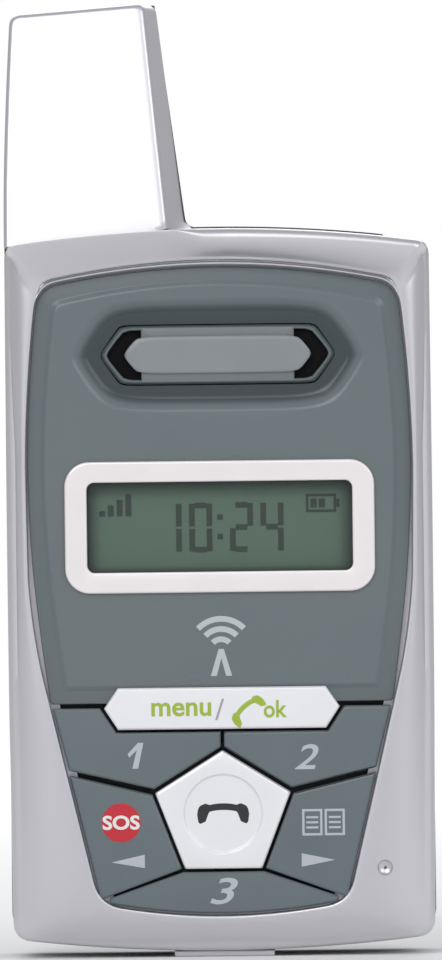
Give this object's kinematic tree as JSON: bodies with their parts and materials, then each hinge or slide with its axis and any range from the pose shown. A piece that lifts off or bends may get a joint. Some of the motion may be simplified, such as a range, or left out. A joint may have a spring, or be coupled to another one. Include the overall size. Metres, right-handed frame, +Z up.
{
  "type": "satellite phone",
  "caption": "Compact handheld satellite phone: silver case with a broad fixed antenna block, smoke faceplate with display and faceted keys, clip-off battery pack.",
  "frame": {"origin": "on the floor under the middle of the foot, halfway across the width and the depth", "axes": "+Z up along the phone to the antenna tip, -Y out of the face with the keys, +X to the right of someone facing it"},
  "size_m": [0.046, 0.021, 0.103],
  "materials": {
    "silver_paint": "satin silver paint over moulded plastic",
    "charcoal_case": "fine textured charcoal plastic",
    "smoke_panel": "glossy smoke grey",
    "black_trim": "matt black",
    "pearl_bezel": "pearl silver",
    "clear_window": "clear",
    "lcd_glass": "green-grey liquid crystal display",
    "light_guide": "milky acrylic",
    "grey_key": "glossy grey",
    "silver_key": "pearl silver",
    "silicone": "silicone",
    "film": "polyester film",
    "board_green": "solder mask",
    "tin_plate": "tin plated sheet",
    "chip_black": "epoxy",
    "gold": "gold flash",
    "steel": "zinc plated",
    "ceramic": "antenna ceramic",
    "copper_film": "copper clad film",
    "cell_foil": "foil pouch",
    "card_white": "smooth"
  },
  "bodies": {
    "handset": {"front_housing": "silver_paint", "rear_housing": "charcoal_case", "perimeter_seal": "silicone", "faceplate": "smoke_panel", "earpiece_bar": "smoke_panel", "earpiece_mesh": "black_trim", "display_bezel": "pearl_bezel", "display_lens": "clear_window", "lcd_panel": "lcd_glass", "backlight_guide": "light_guide", "lcd_frame": "black_trim", "lcd_flex": "film", "keypad_mat": "silicone", "dome_film": "film", "key_domes": "steel", "main_board": "board_green", "processor_can": "tin_plate", "radio_can": "tin_plate", "board_chips": "chip_black", "key_lights": "light_guide", "backup_cell": "steel", "board_screws": "steel", "housing_screws": "steel", "earpiece_gasket": "silicone", "earpiece_speaker": "black_trim", "microphone": "tin_plate", "microphone_boot": "silicone", "ringer": "black_trim", "test_port_plug": "silicone", "vibration_motor": "steel", "antenna_core": "ceramic", "antenna_wrap": "copper_film", "antenna_board": "board_green", "antenna_contacts": "gold", "cellular_element": "copper_film", "dock_connector": "tin_plate", "dock_contacts": "gold", "connector_shroud": "silver_paint", "sim_holder": "tin_plate", "battery_terminals": "gold", "latch_spring": "steel"},
    "battery_pack": {"pack_cover": "charcoal_case", "pack_tray": "charcoal_case", "battery_cell": "cell_foil", "protection_board": "board_green", "pack_contacts": "gold"},
    "latch": {"latch_button": "black_trim"},
    "card": {"sim_card": "card_white"},
    "shaker": {"motor_weight": "steel"},
    "menu_key": {"menu_key": "silver_key"},
    "end_key": {"end_key": "silver_key"},
    "key_one": {"key_one": "grey_key"},
    "key_two": {"key_two": "grey_key"},
    "key_three": {"key_three": "grey_key"},
    "sos_key": {"sos_key": "grey_key"},
    "book_key": {"book_key": "grey_key"}
  },
  "joints": [
    {"name": "pack_removal", "type": "slide", "parent": "handset", "child": "battery_pack", "axis": [0, 1, 0], "range_m": [0, 0.02]},
    {"name": "latch_slide", "type": "slide", "parent": "handset", "child": "latch", "axis": [0, 0, 1], "range_m": [0, 0.0015], "stiffness_N_per_m": 400, "deforming": ["latch_spring"]},
    {"name": "card_slide", "type": "slide", "parent": "handset", "child": "card", "axis": [0, 0, 1], "range_m": [0, 0.006]},
    {"name": "shaker_spin", "type": "hinge", "parent": "handset", "child": "shaker", "pos_m": [0.003, -0.00135, 0.0105], "axis": [1, 0, 0], "continuous": true},
    {"name": "menu_key_press", "type": "slide", "parent": "handset", "child": "menu_key", "axis": [0, 1, 0], "range_m": [0, 0.00035], "stiffness_N_per_m": 400},
    {"name": "end_key_press", "type": "slide", "parent": "handset", "child": "end_key", "axis": [0, 1, 0], "range_m": [0, 0.00035], "stiffness_N_per_m": 400},
    {"name": "key_one_press", "type": "slide", "parent": "handset", "child": "key_one", "axis": [0, 1, 0], "range_m": [0, 0.00035], "stiffness_N_per_m": 400},
    {"name": "key_two_press", "type": "slide", "parent": "handset", "child": "key_two", "axis": [0, 1, 0], "range_m": [0, 0.00035], "stiffness_N_per_m": 400},
    {"name": "key_three_press", "type": "slide", "parent": "handset", "child": "key_three", "axis": [0, 1, 0], "range_m": [0, 0.00035], "stiffness_N_per_m": 400},
    {"name": "sos_key_press", "type": "slide", "parent": "handset", "child": "sos_key", "axis": [0, 1, 0], "range_m": [0, 0.00035], "stiffness_N_per_m": 400},
    {"name": "book_key_press", "type": "slide", "parent": "handset", "child": "book_key", "axis": [0, 1, 0], "range_m": [0, 0.00035], "stiffness_N_per_m": 400}
  ]
}
